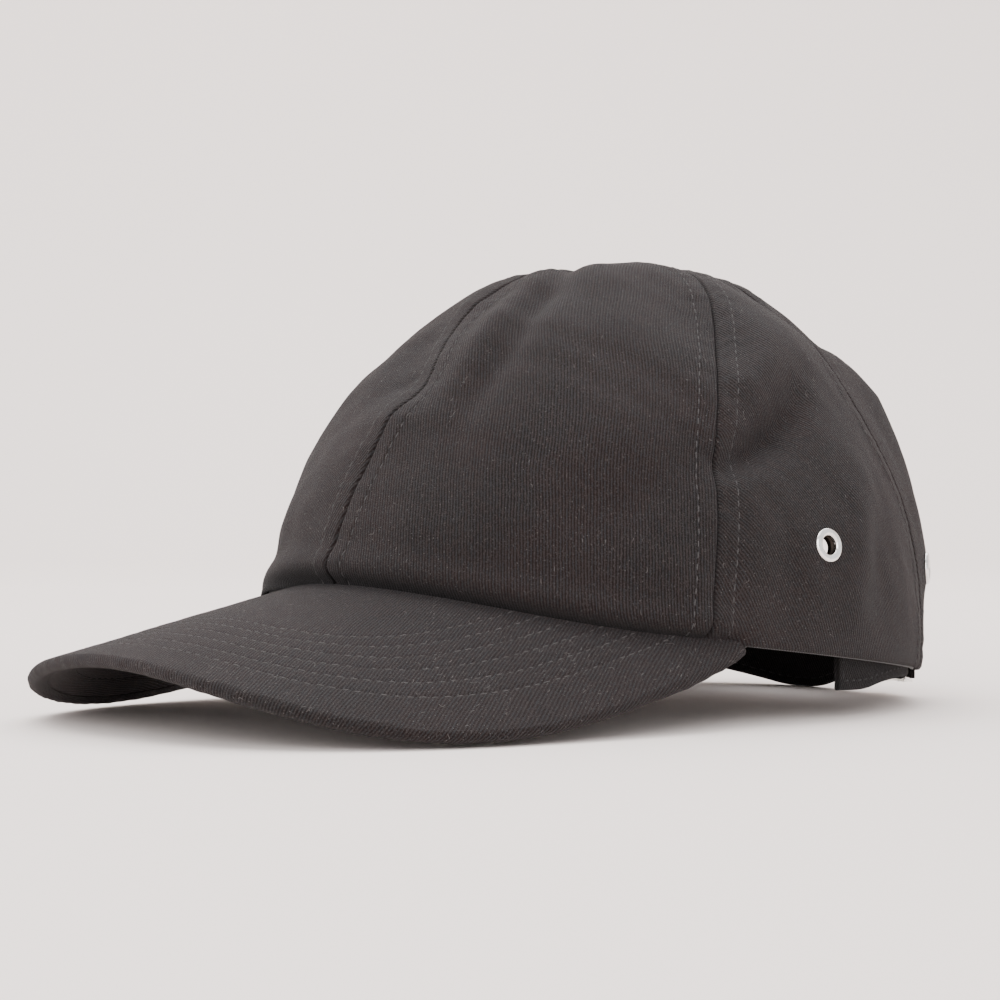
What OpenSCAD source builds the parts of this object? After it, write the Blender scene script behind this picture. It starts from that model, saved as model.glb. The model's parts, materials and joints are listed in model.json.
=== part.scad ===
// Six-panel baseball cap lying on a table, with a pre-curved visor and a
// fabric strap that closes in a hinged metal clasp.
// The cap faces -Y, the wearer's left is +X, and the table is z = 0.

/* [Crown] */
// Half the length of the head opening, front to back
half_l = 96; // [92:1:102]
// Half the width of the head opening
half_w = 85; // [81:1:88]
// Height of the dome above the table, before the hollow at the button
top_z = 131; // [126:1:136]
// Height of the rim above the table at the back
rear_z = 6; // [5:0.5:7]
// Thickness of the twill of a crown panel
cloth = 0.9; // [0.8:0.1:1]
// How far each panel swells between its two seams
swell = 1.5; // [0:0.5:3]
// Depth of the hollow at the button
hollow = 11; // [8:0.5:12]

/* [Visor] */
// Length of the visor in front of the crown
visor_len = 69; // [64:1:74]
// Greatest half width of the visor
visor_half_w = 85.5; // [83:0.5:87]
// Radius of the visor's bend from side to side
visor_bend = 128; // [120:1:150]
// Slope of the visor, down towards the front
visor_slope = 12; // [9:0.5:15]
// Thickness of the stiff board in the visor
board_t = 1.8; // [1.4:0.2:2.2]

/* [Back opening] */
// Height of the arched opening above the rim
arch_h = 45; // [40:1:50]
// Half angle of the arched opening at the rim
arch_a = 32; // [28:1:34]

/* [Strap and clasp] */
// Width of the strap
strap_w = 20; // [18:1:20]
// Thickness of the strap, two layers of twill
strap_t = 1.4; // [1.2:0.1:1.5]
// Angle from the front at which the clasp sits
clasp_a = 158; // [157:1:160]
// Angle from the front at which the strap's free end lies
tail_end_a = 97; // [96:1:110]

/* [Eyelets] */
// Radius of the hole through an eyelet
eyelet_bore = 2.4; // [2:0.1:2.6]
// Radius of an eyelet's flange
eyelet_flange = 4.75; // [4.4:0.05:5]

/* [Hidden] */

// angles from the front of the cap, in degrees: the seams, the visor's ends, the eyelets
seams = [0, 68, 126, 180];
visor_end = 75.5;
side_eyelet = [90.2, 12.8];
rear_eyelet = [135.5, 12];
// the dome's outline: exponents of its width and height, and the shift of its top
width_pow = 1.3;
height_pow = 0.93;
hollow_wide = 0.3;
// the crown's rim stands this far above the visor's board
rim_lift = 1.2;
apex_y = 16;
panel_top = 87.2;
seam_gap = 0.1;
// depths below the outside of the crown at which each inner layer starts
tape_in = 1.2;
tape_t = 0.4;
band_in = 1.9;
band_t = 0.9;
band_h = 22.5;
band_end = 137;
tape_w = 14;
root_in = 1.9;
tail_in = 3.9;
// the visor's plan: a superellipse
visor_mid_y = -64;
visor_pow = 2.6;
visor_end_turn = 107.5;
cover_t = 0.8;
layer_gap = 0.1;
visor_rows = 7;
visor_cols = 32;
// the clasp, in its own frame: X outwards, Y towards the strap's sewn end
clasp_in = tail_in + strap_t / 2;
frame_half_h = strap_w / 2 + 1;
ear_t = 0.7;
hinge = [3, -6];
bar = [2.4, -11.5];
pin_r = 0.9;
bar_r = 0.8;
lever_open = 110;
step = 0.5;
black = [0.06, 0.06, 0.065];
nickel = [0.78, 0.78, 0.76];

// the visor's upper board surface, as a height over the plan; the slope rises to the back
function visor_rise(x, y) =
  (y + half_l) * tan(visor_slope) - (visor_bend - sqrt(visor_bend * visor_bend - x * x));
function visor_normal(x, y) =
  let (n = [x / sqrt(visor_bend * visor_bend - x * x), -tan(visor_slope), 1]) n / norm(n);
function signed_pow(v, p) = sign(v) * pow(abs(v), p);
function rim_xy(phi) = [half_w * sin(phi), -half_l * cos(phi)];
function rim_normal(phi) = let (n = [sin(phi) / half_w, -cos(phi) / half_l]) n / norm(n);
function edge_xy(phi, inset = 0) =
  let (turn = phi * visor_end_turn / visor_end, p = 2 / visor_pow, len = visor_len + half_l + visor_mid_y - inset)
  [(visor_half_w - inset) * signed_pow(sin(turn), p), visor_mid_y - len * signed_pow(cos(turn), p)];

// thickness of the whole visor below the upper board surface
visor_low = board_t + 2 * layer_gap + cover_t;
edge_low = [for (phi = [-visor_end:1:visor_end])
  let (q = edge_xy(phi)) visor_rise(q[0], q[1]) - visor_low * visor_normal(q[0], q[1])[2]];
// the height of the crown's rim at the front, so that the visor's sides touch the table
front_z = -min(edge_low);
visor_z0 = front_z - cover_t - layer_gap;

function visor_pt(q, off) =
  [q[0], q[1], front_z + visor_rise(q[0], q[1])] + off * visor_normal(q[0], q[1]);
function visor_grid_pt(phi, s, off, inset, gap) =
  visor_pt((rim_xy(phi) + gap * rim_normal(phi)) * (1 - s) + edge_xy(phi, inset) * s, off);

function rim_z(phi) =
  let (q = rim_xy(min(abs(phi), 360 - abs(phi))), t = rim_xy(visor_end), zt = front_z + rim_lift + visor_rise(t[0], t[1]))
  q[1] < t[1] ? front_z + rim_lift + visor_rise(q[0], q[1]) : zt + (rear_z - zt) * (q[1] - t[1]) / (half_l - t[1]);

// share of the way across a panel, for a folded angle
function across(a) = let (k = a < seams[1] ? 0 : a < seams[2] ? 1 : 2) (a - seams[k]) / (seams[k + 1] - seams[k]);
function folded(phi) = let (a = abs(phi)) a > 180 ? 360 - a : a;
function dome(phi, t) =
  let (r = pow(cos(t), width_pow), h = pow(sin(t), height_pow), q = rim_xy(phi), z = rim_z(phi))
  [q[0] * r, q[1] * r + apex_y * h, z + (top_z - z) * h - hollow * exp(-pow(r / hollow_wide, 2))];
function dome_normal(phi, t) =
  let (t0 = min(max(t, step), 89 - step), n = cross(dome(phi + step, t0) - dome(phi - step, t0),
    dome(phi, t0 + step) - dome(phi, t0 - step))) n / norm(n);
function crown_pt(phi, t, depth) =
  dome(phi, t) + (swell * sin(180 * across(folded(phi))) * sin(2 * t) - depth) * dome_normal(phi, t);

// a closed slab between two grids of points; a is the side that faces out
module slab(a, b) {
  n = len(a);
  m = len(a[0]);
  pts = [for (g = [a, b]) for (col = g) for (p = col) p];
  function at(g, i, j) = g * n * m + i * m + j;
  function quad(p, q, r, s) = [[p, q, r], [p, r, s]];
  faces = [
    for (i = [0:n - 2]) for (j = [0:m - 2]) for (f = concat(
      quad(at(0, i, j), at(0, i, j + 1), at(0, i + 1, j + 1), at(0, i + 1, j)),
      quad(at(1, i, j), at(1, i + 1, j), at(1, i + 1, j + 1), at(1, i, j + 1)))) f,
    for (j = [0:m - 2]) for (f = concat(
      quad(at(0, 0, j + 1), at(0, 0, j), at(1, 0, j), at(1, 0, j + 1)),
      quad(at(0, n - 1, j), at(0, n - 1, j + 1), at(1, n - 1, j + 1), at(1, n - 1, j)))) f,
    for (i = [0:n - 2]) for (f = concat(
      quad(at(0, i + 1, m - 1), at(0, i, m - 1), at(1, i, m - 1), at(1, i + 1, m - 1)),
      quad(at(0, i, 0), at(0, i + 1, 0), at(1, i + 1, 0), at(1, i, 0)))) f
  ];
  polyhedron(pts, faces);
}

// a sheet under the crown's surface: cols holds [angle, lowest t, highest t]
module crown_sheet(cols, rows, depth, thick) {
  grid = [for (d = [depth, depth + thick]) [for (c = cols)
    [for (j = [0:rows]) crown_pt(c[0], c[1] + (c[2] - c[1]) * j / rows, d)]]];
  slab(grid[0], grid[1]);
}

// stands its children on the crown's outer surface, with +Z along the normal
module on_crown(place) {
  n = dome_normal(place[0], place[1]);
  translate(crown_pt(place[0], place[1], 0)) rotate([0, acos(n[2]), atan2(n[1], n[0])]) children();
}

module eyelet_hole(place) {
  on_crown(place) cylinder(r = eyelet_bore + 0.55, h = 12, center = true, $fn = 48);
}

function even(a0, a1, n) = [for (i = [0:n]) a0 + (a1 - a0) * i / n];
// the lower edge of the crown, as the dome's parameter t: zero, or the arch of the opening
arch_t = asin(pow(arch_h / (top_z - rear_z), 1 / height_pow));
function arch_cols(n) = [for (i = [0:n]) [180 - arch_a * cos(90 * i / n), arch_t * sin(90 * i / n)]];

module front_panel() {
  color(black)
    crown_sheet([for (a = even(seams[0] + seam_gap, seams[1] - seam_gap, 12)) [a, 0, panel_top]], 14, 0, cloth);
}

module side_panel() {
  color(black) difference() {
    crown_sheet([for (a = even(seams[1] + seam_gap, seams[2] - seam_gap, 10)) [a, 0, panel_top]], 14, 0, cloth);
    eyelet_hole(side_eyelet);
  }
}

module rear_panel() {
  foot = 180 - arch_a;
  cols = concat([for (a = even(seams[2] + seam_gap, foot, 4)) [a, 0, panel_top]],
    [for (c = arch_cols(9)) if (c[0] > foot + 0.01) [min(c[0], 180 - seam_gap), c[1], panel_top]]);
  color(black) difference() {
    crown_sheet(cols, 14, 0, cloth);
    eyelet_hole(rear_eyelet);
  }
}

// a tape under one seam, of even width, from t0 to where the tapes would meet
module seam_tape(a, t0) {
  ts = even(t0, 73, 12);
  grid = [for (d = [tape_in, tape_in + tape_t]) [for (side = [-1, 0, 1]) [for (t = ts)
    let (turn = step * tape_w / norm(dome(a + step, t) - dome(a - step, t))) crown_pt(a + side * turn, t, d)]]];
  color(black) slab(grid[0], grid[1]);
}

module sweatband() {
  cols = [for (a = even(-band_end, band_end, 46))
    let (h = pow(band_h / (top_z - rim_z(a)), 1 / height_pow)) [a, 0, asin(h)]];
  color(black) crown_sheet(cols, 2, band_in, band_t);
}

// the tape that finishes the arched edge, above the strap
module opening_binding() {
  wide = 6;
  start = 40;
  color(black) slab(binding_grid(tape_in, start, wide), binding_grid(tape_in + tape_t, start, wide));
}
function binding_grid(d, start, wide) = [for (w = even(start, 180 - start, 18))
  [for (k = [0, 1]) crown_pt(180 - (arch_a + k * wide) * cos(w), (arch_t + k * wide * 0.6) * sin(w), d)]];

module size_label() {
  grid = [for (d = [band_in, band_in + 0.3]) [for (a = even(172, 188, 4))
    [for (t = [arch_t + 7, arch_t + 12, arch_t + 17]) crown_pt(180, t, d)
      + [half_w * sin(a) * 0.9, 0, 0]]]];
  color("white") slab(grid[0], grid[1]);
}

// one layer of the visor between two depths below the board's upper surface
module visor_layer(upper, lower, gap, inset, end) {
  phis = even(-end, end, visor_cols);
  grid = [for (off = [-lower, -upper]) [for (phi = phis)
    [for (s = even(0, 1, visor_rows)) visor_grid_pt(phi, s, off, inset, gap)]]];
  slab(grid[0], grid[1]);
}

// the upper cloth lies over the board and turns down round its edge
module visor_top_cover() {
  phis = even(0.5 - visor_end, visor_end - 0.5, visor_cols);
  under = [for (phi = phis) concat(
    [for (s = even(0, 1, visor_rows)) visor_grid_pt(phi, s, layer_gap, cover_t, -0.5)],
    [visor_grid_pt(phi, 1, -visor_low, cover_t, -0.5)])];
  over = [for (phi = phis) concat(
    [for (s = even(0, 1, visor_rows)) visor_grid_pt(phi, s, layer_gap + cover_t, 0, -0.5)],
    [visor_grid_pt(phi, 1, -visor_low, 0, -0.5)])];
  color(black) slab(under, over);
}

module visor_board() {
  color("dimgray") visor_layer(0, board_t, 1, 2, visor_end - 6);
}

module visor_under_cover() {
  color(black) visor_layer(board_t + layer_gap, board_t + layer_gap + cover_t, -0.5, cover_t + 0.2, visor_end - 2);
}

module on_apex() {
  translate([0, apex_y, top_z - hollow]) children();
}

module button_cover() {
  r = 7;
  color(black) on_apex() difference() {
    rotate_extrude($fn = 64) polygon(concat([[0, 0.6], [r - 0.6, 0.6]],
      [for (a = [-30:15:90]) [(r - 0.6) * pow(cos(max(a, 0)), 0.6) + (a < 0 ? 0.6 * cos(3 * a) : 0.6 * cos(a)),
        1.6 + (a < 0 ? a / 30 * 0.9 : 2.4 * sin(a))]]));
    translate([0, 0, 0.5]) cylinder(r = 1.55, h = 1.6, $fn = 32);
  }
}

module button_rivet() {
  color(nickel) on_apex() {
    translate([0, 0, -2.6]) cylinder(r = 1.5, h = 4.5, $fn = 32);
    translate([0, 0, -2.6]) cylinder(r = 5, h = 0.8, $fn = 48);
  }
}

// the flange and barrel, whose end is rolled over the washer
module eyelet(place) {
  barrel = eyelet_bore + 0.4;
  mid = (eyelet_flange + barrel) / 2 - 0.15;
  wide = eyelet_flange - mid;
  color(nickel) on_crown(place) rotate_extrude($fn = 64) {
    translate([eyelet_bore, -2.8]) square([0.4, 2.95]);
    polygon([for (a = [0:15:180]) [mid + wide * cos(a), 0.1 + 0.85 * sin(a)]]);
    translate([barrel + 0.25, -2.45]) circle(r = 0.35, $fn = 24);
  }
}

module eyelet_washer(place) {
  color(nickel) on_crown(place) translate([0, 0, -2]) difference() {
    cylinder(r = eyelet_flange, h = 0.5, $fn = 64);
    translate([0, 0, -1]) cylinder(r = eyelet_bore + 0.55, h = 3, $fn = 48);
  }
}

// heights of the strap's lower edge: the free end hangs, the clasp holds it level,
// and the middle of the back rests on the table
strap_low_at = [[97, 7.6], [105, 7], [113, 8.6], [122, 8.8], [134, 8], [146, 5.5],
  [168, 5.5], [181, 0], [190, 0], [204, 4], [214, 7], [222, 8]];
function strap_low(phi) = lookup(phi, strap_low_at);
// the strap lies deeper at the clasp than where it is sewn under the right panel
function strap_depth(phi) = let (k = min(max((phi - 168) / 36, 0), 1)) tail_in + (root_in - tail_in) * k * k * (3 - 2 * k);

module strap_piece(a0, a1, n, depth_scale = 1) {
  grid = [for (d = [0, strap_t]) [for (a = even(a0, a1, n))
    let (q = rim_xy(a) - (strap_depth(a) + d) * rim_normal(a), z = strap_low(a))
    [for (h = [0, strap_w]) [q[0], q[1], z + h]]]];
  color(black) slab(grid[0], grid[1]);
}

// the free end of the strap turns about this point when it is pulled out
tail_root_a = 149;
tail_gap_a = 0.8;

module strap() {
  strap_piece(tail_root_a + tail_gap_a, 222, 26);
}

module strap_tail() {
  strap_piece(tail_end_a, tail_root_a - tail_gap_a, 18);
}

// the clasp's own frame: the middle of the strap at the clasp
clasp_n = rim_normal(clasp_a);
clasp_turn = atan2(clasp_n[1], clasp_n[0]);
clasp_mid = concat(rim_xy(clasp_a) - clasp_in * clasp_n, [strap_low(clasp_a) + strap_w / 2]);
module on_clasp() {
  translate(clasp_mid) rotate([0, 0, clasp_turn]) children();
}

module clasp_frame() {
  back = -2.4;
  color(nickel) on_clasp() difference() {
    union() {
      translate([back, -9, -frame_half_h]) cube([1, 18, 2 * frame_half_h]);
      for (side = [0, 1]) mirror([0, 0, side]) translate([0, 0, frame_half_h - ear_t])
        linear_extrude(ear_t) polygon([[back, -9], [back, 9], [1.8, 9], [4.6, 3], [4.6, -8],
          [bar[0] + 1.4, bar[1] - 1.6], [bar[0] - 1.2, bar[1] - 1.6], [bar[0] - 1.2, -9]]);
      translate([bar[0], bar[1], -frame_half_h]) cylinder(r = bar_r, h = 2 * frame_half_h, $fn = 32);
    }
    translate([hinge[0], hinge[1], -20]) cylinder(r = pin_r + 0.02, h = 40, $fn = 32);
    for (z = [-6, 0, 6]) translate([back - 1, 0, z]) rotate([0, 90, 0]) cylinder(r = 1.6, h = 3, $fn = 32);
  }
}

module clasp_pin() {
  color(nickel) on_clasp() {
    translate([hinge[0], hinge[1], -frame_half_h - 0.3]) cylinder(r = pin_r, h = 2 * frame_half_h + 0.6, $fn = 32);
  }
}

// the lever is drawn with its hinge at the origin and its plate towards +Y
module clasp_lever() {
  half = frame_half_h - ear_t - 0.25;
  knuckle = 1.75;
  color(nickel) on_clasp() translate([hinge[0], hinge[1], -half]) difference() {
    union() {
      cylinder(r = knuckle, h = 2 * half, $fn = 48);
      for (a = [150:24:222]) rotate([0, 0, a]) translate([knuckle, 0, 0]) cylinder(r = 0.22, h = 2 * half, $fn = 16);
      translate([0.75, 0, 0]) cube([1, 16, 2 * half]);
      translate([1.5, 16, 0]) cylinder(r = 0.9, h = 2 * half, $fn = 32);
    }
    translate([0, 0, -1]) cylinder(r = pin_r + 0.05, h = 2 * half + 2, $fn = 32);
    translate([-1, 9.5, half]) rotate([0, 90, 0]) cylinder(r = 3, h = 4, $fn = 48);
  }
}

// two layers of twill that run round the frame's bar and under the left rear panel
module strap_anchor() {
  eye = bar_r + 0.05;
  layer = strap_t / 2;
  half = strap_w / 2 - 0.8;
  sewn = [for (y = [-14:-2:-24]) [-y * y / 186, y]];
  outer = [for (p = sewn) [p[0] + clasp_in - root_in, p[1]]];
  inner = [for (i = [len(sewn) - 1:-1:0]) [sewn[i][0] + clasp_in - root_in - strap_t, sewn[i][1]]];
  color(black) on_clasp() translate([0, 0, -half]) difference() {
    union() {
      translate([bar[0], bar[1], 0]) cylinder(r = eye + layer, h = 2 * half, $fn = 48);
      linear_extrude(2 * half)
        polygon(concat([[bar[0] + 1.4, bar[1] - 0.4]], outer, inner, [[bar[0] - 1.4, bar[1] - 0.4]]));
    }
    translate([bar[0], bar[1], -1]) cylinder(r = eye, h = 2 * half + 2, $fn = 32);
  }
}

module right() {
  mirror([1, 0, 0]) children();
}

// the middle of the whole cap, front to back, so that the origin is under it
mid_y = -visor_len / 2;
module placed() {
  translate([0, -mid_y, 0]) children();
}

placed() front_panel();  // front_panel_left
placed() right() front_panel();  // front_panel_right
placed() side_panel();  // side_panel_left
placed() right() side_panel();  // side_panel_right
placed() rear_panel();  // rear_panel_left
placed() right() rear_panel();  // rear_panel_right
placed() seam_tape(seams[0], 1);  // seam_tape_front
placed() seam_tape(seams[1], 1);  // seam_tape_left_front
placed() right() seam_tape(seams[1], 1);  // seam_tape_right_front
placed() seam_tape(seams[2], 1);  // seam_tape_left_rear
placed() right() seam_tape(seams[2], 1);  // seam_tape_right_rear
placed() seam_tape(seams[3], arch_t + 5);  // seam_tape_rear
placed() sweatband();
placed() opening_binding();
placed() size_label();
placed() visor_top_cover();
placed() visor_board();
placed() visor_under_cover();
placed() button_cover();
placed() button_rivet();
placed() eyelet(side_eyelet);  // eyelet_side_left
placed() right() eyelet(side_eyelet);  // eyelet_side_right
placed() eyelet(rear_eyelet);  // eyelet_rear_left
placed() right() eyelet(rear_eyelet);  // eyelet_rear_right
placed() eyelet_washer(side_eyelet);  // eyelet_washer_side_left
placed() right() eyelet_washer(side_eyelet);  // eyelet_washer_side_right
placed() eyelet_washer(rear_eyelet);  // eyelet_washer_rear_left
placed() right() eyelet_washer(rear_eyelet);  // eyelet_washer_rear_right
placed() strap();
placed() strap_tail();
placed() strap_anchor();
placed() clasp_frame();
placed() clasp_pin();
placed() clasp_lever();
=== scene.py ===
"""Six-panel baseball cap: detailed cloth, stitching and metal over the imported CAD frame."""
import json
import math

import bmesh
import bpy
import numpy as np
from mathutils import Matrix, Vector


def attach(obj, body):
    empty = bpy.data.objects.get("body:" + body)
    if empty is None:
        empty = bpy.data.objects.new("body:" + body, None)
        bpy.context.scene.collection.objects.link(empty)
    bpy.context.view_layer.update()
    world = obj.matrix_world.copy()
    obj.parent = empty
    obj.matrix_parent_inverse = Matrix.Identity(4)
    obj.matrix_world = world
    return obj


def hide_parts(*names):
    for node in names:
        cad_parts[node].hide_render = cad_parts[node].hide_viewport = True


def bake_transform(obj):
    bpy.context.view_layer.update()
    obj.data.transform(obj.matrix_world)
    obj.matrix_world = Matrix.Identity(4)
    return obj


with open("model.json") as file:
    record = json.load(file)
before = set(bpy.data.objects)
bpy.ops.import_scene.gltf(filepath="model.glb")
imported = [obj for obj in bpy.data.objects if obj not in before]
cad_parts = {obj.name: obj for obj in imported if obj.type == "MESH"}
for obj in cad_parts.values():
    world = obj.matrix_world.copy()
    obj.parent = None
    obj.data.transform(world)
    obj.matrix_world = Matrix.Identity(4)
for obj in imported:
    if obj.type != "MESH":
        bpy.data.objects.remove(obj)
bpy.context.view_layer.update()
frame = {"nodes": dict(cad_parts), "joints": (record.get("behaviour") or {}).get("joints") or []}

MM = 0.001
rng = np.random.default_rng(7)

# ---------------------------------------------------------------- dimensions, in mm, as in the CAD
HALF_L, HALF_W, TOP_Z, REAR_Z = 96.0, 85.0, 131.0, 6.0
SWELL, HOLLOW, HOLLOW_WIDE, RIM_LIFT = 1.5, 11.0, 0.3, 1.2
VISOR_LEN, VISOR_HALF_W, VISOR_BEND, VISOR_SLOPE = 69.0, 85.5, 128.0, 12.0
VISOR_MID_Y, VISOR_POW, VISOR_END, VISOR_END_TURN = -64.0, 2.6, 75.5, 107.5
BOARD_T, COVER_T, LAYER_GAP = 1.8, 0.8, 0.1
APEX_Y, WIDTH_POW, HEIGHT_POW = 16.0, 1.3, 0.93
ARCH_H, ARCH_A = 45.0, 32.0
STRAP_W, STRAP_T = 20.0, 1.4
TAIL_IN, ROOT_IN = 3.9, 1.9
CLOTH = 0.9
MID_Y = -VISOR_LEN / 2
LOW = BOARD_T + 2 * LAYER_GAP + COVER_T
STITCH_AT = 5.5  # from a seam or the arch's edge to its row of stitches
BAND_LAYER = 1.9  # layers deeper than this reach down onto the visor's seam
HEM_FROM = 77.0  # angle from which the rim is a free hem, not sewn to the visor
EYELETS = {"side": (90.2, 12.8), "rear": (135.5, 12.0)}


def smooth(x):
    x = np.clip(x, 0.0, 1.0)
    return x * x * (3 - 2 * x)


def spow(v, p):
    return np.sign(v) * np.abs(v) ** p


def rise(x, y):
    return (y + HALF_L) * math.tan(math.radians(VISOR_SLOPE)) - (
        VISOR_BEND - np.sqrt(VISOR_BEND**2 - x * x)
    )


def visor_n(x, y):
    n = np.stack(
        [x / np.sqrt(VISOR_BEND**2 - x * x), -math.tan(math.radians(VISOR_SLOPE)) + 0 * x, 1 + 0 * x], -1
    )
    return n / np.linalg.norm(n, axis=-1, keepdims=True)


def edge_xy(phi):
    t = np.radians(phi * VISOR_END_TURN / VISOR_END)
    p = 2 / VISOR_POW
    length = VISOR_LEN + HALF_L + VISOR_MID_Y
    return np.stack([VISOR_HALF_W * spow(np.sin(t), p), VISOR_MID_Y - length * spow(np.cos(t), p)], -1)


def rim_xy(phi):
    r = np.radians(phi)
    return np.stack([HALF_W * np.sin(r), -HALF_L * np.cos(r)], -1)


def rim_n(phi):
    r = np.radians(phi)
    n = np.stack([np.sin(r) / HALF_W, -np.cos(r) / HALF_L], -1)
    return n / np.linalg.norm(n, axis=-1, keepdims=True)


_e = edge_xy(np.arange(-VISOR_END, VISOR_END + 0.1, 1.0))
FRONT_Z = -float(np.min(rise(_e[:, 0], _e[:, 1]) - LOW * visor_n(_e[:, 0], _e[:, 1])[:, 2]))


def rim_z(phi):
    a = np.abs(phi)
    a = np.where(a > 180, 360 - a, a)
    q = rim_xy(a)
    t = rim_xy(np.array(VISOR_END))
    zt = FRONT_Z + RIM_LIFT + float(rise(t[0], t[1]))
    front = FRONT_Z + RIM_LIFT + rise(q[..., 0], np.minimum(q[..., 1], t[1]))
    back = zt + (REAR_Z - zt) * (q[..., 1] - t[1]) / (HALF_L - t[1])
    return np.where(q[..., 1] < t[1], front, back)


SEAM_T = [0, 10, 18, 25, 33, 39, 45, 52, 58, 65, 72, 88]
SEAMS = [
    [0, 1.5, 2.5, 3.8, 5.2, 2.2, -1.6, -2.4, -3.5, -3.5, -2.0, 0],
    [68.5, 69, 69, 69, 70, 71.5, 74, 77, 79, 81, 82, 80],
    [126, 126, 123, 118, 114, 112.5, 114, 118, 121, 124, 125.5, 126],
    [180] * 12,
]


def seam_angle(k, t):
    """The four seams' angles from the front: the cloth has slipped, so they wander as they climb."""
    t = np.asarray(t, float)
    out = 0.0
    for d in (-3.5, -1.75, 0.0, 1.75, 3.5):
        out = out + np.interp(t + d, SEAM_T, SEAMS[k]) / 5
    return out


def fold(phi):
    a = np.abs(phi)
    return np.where(a > 180, 360 - a, a)


def panel_edges(k, side, t):
    """Signed angles of a panel's two edges: its seam nearer the front, then the one nearer the back."""
    lo = seam_angle(k, t) * (side if k else 1)
    return lo, seam_angle(k + 1, t) * side


def across(phi, t):
    """0 at a panel's front seam, 1 at its rear one."""
    p = np.where(phi > 180, phi - 360, phi)
    out = 0.0 * p
    for side in (1, -1):
        for k in range(3):
            lo, hi = panel_edges(k, side, t)
            a = (p - lo) / (hi - lo)
            out = np.where((a >= 0) & (a <= 1), a, out)
    return out


def dome(phi, t):
    tr = np.radians(t)
    r = np.abs(np.cos(tr)) ** WIDTH_POW
    h = np.abs(np.sin(tr)) ** HEIGHT_POW
    q = rim_xy(phi)
    z = rim_z(phi)
    return np.stack(
        [
            q[..., 0] * r,
            q[..., 1] * r + APEX_Y * h,
            z + (TOP_Z - z) * h - HOLLOW * np.exp(-((r / HOLLOW_WIDE) ** 2)),
        ],
        -1,
    )


def dome_n(phi, t):
    t0 = np.clip(t, 0.5, 88.5)
    n = np.cross(dome(phi + 0.5, t0) - dome(phi - 0.5, t0), dome(phi, t0 + 0.5) - dome(phi, t0 - 0.5))
    return n / np.linalg.norm(n, axis=-1, keepdims=True)


def line_dist(pts, line):
    """Distance from each point to a polyline, and how far along it (0 to 1) the nearest place is."""
    best = np.full(pts.shape[:-1], 1e9)
    where = np.zeros(pts.shape[:-1])
    k = len(line) - 1
    for i in range(k):
        a, b = line[i], line[i + 1]
        d = b - a
        u = np.clip(((pts - a) @ d) / (d @ d), 0, 1)
        dist = np.linalg.norm(pts - a - u[..., None] * d, axis=-1)
        near = dist < best
        best = np.where(near, dist, best)
        where = np.where(near, (i + u) / k, where)
    return best, where


def on_dome(route):
    r = np.array(route, float)
    return dome(r[:, 0], r[:, 1])


# soft dents and folds of the resting cap: (angle, t) routes, height in mm (minus is inwards), width in mm
CREASES = [
    (
        [(10, 70), (14, 63), (20, 53), (22.5, 43), (22, 35), (20.5, 28), (20, 21)],
        [-1.6, -2.6, -2.6, -2.4, -2.0, -1.2, -0.2],
        4.6,
    ),
    ([(6, 66), (11, 56), (14, 46), (14.5, 36), (13, 28)], [1.0, 1.6, 1.8, 1.5, 0.2], 5.5),
    ([(-8, 38), (-2, 34), (4, 32)], [-2.6, -3.6, -2.4], 9.0),
    ([(4, 26), (10, 27)], [1.5, 0.8], 7.0),
    ([(-14, 56), (-6, 50), (2, 44)], [1.6, 1.8, 0.6], 9.0),
    ([(34, 66), (50, 69), (66, 70), (80, 70)], [1.3, 2.4, 2.2, 1.0], 14.0),
    ([(71, 23), (76, 25), (82, 28), (88, 32), (94, 38)], [-3.2, -6.2, -6.4, -4.2, -0.8], 4.8),
    ([(72, 33), (78, 36), (85, 40), (94, 47)], [0.8, 2.6, 3.0, 1.0], 6.5),
    ([(76, 12), (84, 14), (92, 17)], [0.3, 1.0, 0.4], 7.0),
    ([(66, 24), (58, 19), (50, 14.5), (43, 12)], [-1.4, -1.5, -1.1, -0.2], 7.0),
    ([(62, 33), (52, 26), (44, 21)], [0.3, 1.0, 0.3], 9.0),
    ([(97.5, 6), (98, 13), (100, 20), (104, 27)], [1.5, 2.5, 2.2, 0.5], 7.0),
    ([(82, 4), (82, 10), (83, 15)], [-0.8, -1.5, -1.0], 6.5),
    ([(134, 22), (135, 30), (134, 36), (128, 42)], [0.6, 2.2, 2.8, 0.8], 8.0),
    ([(110, 62), (117, 56), (125, 51.5), (133, 49.5), (143, 48)], [-1.8, -3.8, -5.2, -5.0, -1.6], 8.5),
    ([(122, 62), (134, 58)], [-1.2, -1.6], 9.0),
    ([(138, 13), (142, 18)], [0.9, 1.4], 7.0),
    ([(134, 3), (136, 7)], [-1.2, -1.0], 5.0),
    ([(-30, 62), (-38, 45), (-34, 30)], [-0.8, -1.6, -0.5], 9.0),
    ([(-84, 40), (-92, 30), (-100, 18)], [-0.6, -2.2, -0.4], 8.0),
    ([(-140, 60), (-150, 48), (-156, 36)], [-0.5, -2.0, -0.6], 8.0),
    ([(162, 62), (156, 50), (152, 38)], [-0.4, -1.6, -0.5], 8.0),
    ([(-112, 62), (-120, 46)], [0.8, 1.6], 9.0),
]
_routes = [(on_dome(r), np.array(a, float), w) for r, a, w in CREASES]


def waves(p, seed, scale):
    """Smooth low wobble from a few fixed sine waves."""
    g = np.random.default_rng(seed)
    out = 0.0
    for _ in range(7):
        k = g.normal(size=3)
        k *= (0.6 + 0.9 * g.random()) / np.linalg.norm(k) * 2 * math.pi / scale
        out = out + np.sin(p @ k + g.random() * 6.28)
    return out / 2.6


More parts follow.
